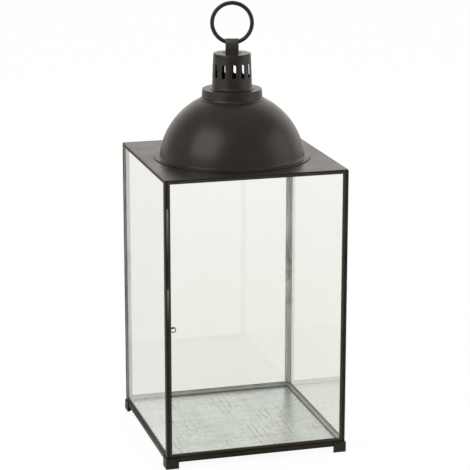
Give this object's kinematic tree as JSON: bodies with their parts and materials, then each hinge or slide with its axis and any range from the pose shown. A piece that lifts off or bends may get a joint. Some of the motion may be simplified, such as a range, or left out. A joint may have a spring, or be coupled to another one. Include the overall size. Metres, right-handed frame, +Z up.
{
  "type": "hurricane candle lantern",
  "caption": "Square glass candle lantern with a painted metal frame, hinged front door with a wire catch, galvanised floor tray, domed roof, slotted chimney and carrying ring.",
  "frame": {"origin": "on the floor under the middle of the four feet", "axes": "+Z up, -Y out of the front door, +X to the right seen from the front"},
  "size_m": [0.25, 0.25, 0.5994],
  "materials": {
    "bronze_paint": "satin dark bronze paint",
    "galvanised_tray": "mottled galvanised zinc with fine scratches",
    "galvanised_strip": "dull galvanised zinc",
    "glass": "clear polished",
    "wire_steel": "dark drawn wire"
  },
  "bodies": {
    "lantern_frame": {"base_rail_back": "bronze_paint", "base_rail_front": "bronze_paint", "base_rail_left": "bronze_paint", "base_rail_right": "bronze_paint", "chimney": "bronze_paint", "chimney_cap": "bronze_paint", "corner_post_back_left": "bronze_paint", "corner_post_back_right": "bronze_paint", "corner_post_front_left": "bronze_paint", "corner_post_front_right": "bronze_paint", "dome": "bronze_paint", "floor_tray": "galvanised_tray", "foot_back_left": "bronze_paint", "foot_back_right": "bronze_paint", "foot_front_left": "bronze_paint", "foot_front_right": "bronze_paint", "glazing_strip_back_left": "galvanised_strip", "glazing_strip_back_right": "galvanised_strip", "glazing_strip_front_left": "galvanised_strip", "glazing_strip_front_right": "galvanised_strip", "hanger_strap": "bronze_paint", "hinge_washer": "wire_steel", "latch_liner": "galvanised_strip", "neck_collar": "bronze_paint", "pane_back": "glass", "pane_left": "glass", "pane_right": "glass", "roof_plate": "bronze_paint", "sill_bead_back": "galvanised_strip", "sill_bead_left": "galvanised_strip", "sill_bead_right": "galvanised_strip", "sill_channel_back": "bronze_paint", "sill_channel_left": "bronze_paint", "sill_channel_right": "bronze_paint", "top_channel_back": "bronze_paint", "top_channel_left": "bronze_paint", "top_channel_right": "bronze_paint", "top_rail_front": "bronze_paint"},
    "door_leaf": {"door_glass": "glass", "door_rail_bottom": "bronze_paint", "door_rail_top": "bronze_paint", "door_stile_hinge": "bronze_paint", "door_stile_latch": "bronze_paint", "hinge_pin_top": "wire_steel", "hinge_pin_bottom": "wire_steel", "catch_eyelet": "wire_steel"},
    "door_catch": {"catch_wire": "wire_steel"},
    "ring": {"carry_ring": "bronze_paint"}
  },
  "joints": [
    {"name": "door_swing", "type": "hinge", "parent": "lantern_frame", "child": "door_leaf", "pos_m": [0.1182, -0.1217, 0.2], "axis": [0, 0, 1], "range_deg": [0, 105]},
    {"name": "catch_turn", "type": "hinge", "parent": "door_leaf", "child": "door_catch", "pos_m": [-0.11813, -0.1217, 0.1925], "axis": [0, 1, 0], "range_deg": [0, 90]},
    {"name": "ring_swing", "type": "hinge", "parent": "lantern_frame", "child": "ring", "pos_m": [0, 0, 0.5446], "axis": [0.9632, -0.2689, 0], "range_deg": [-135, 135]}
  ]
}
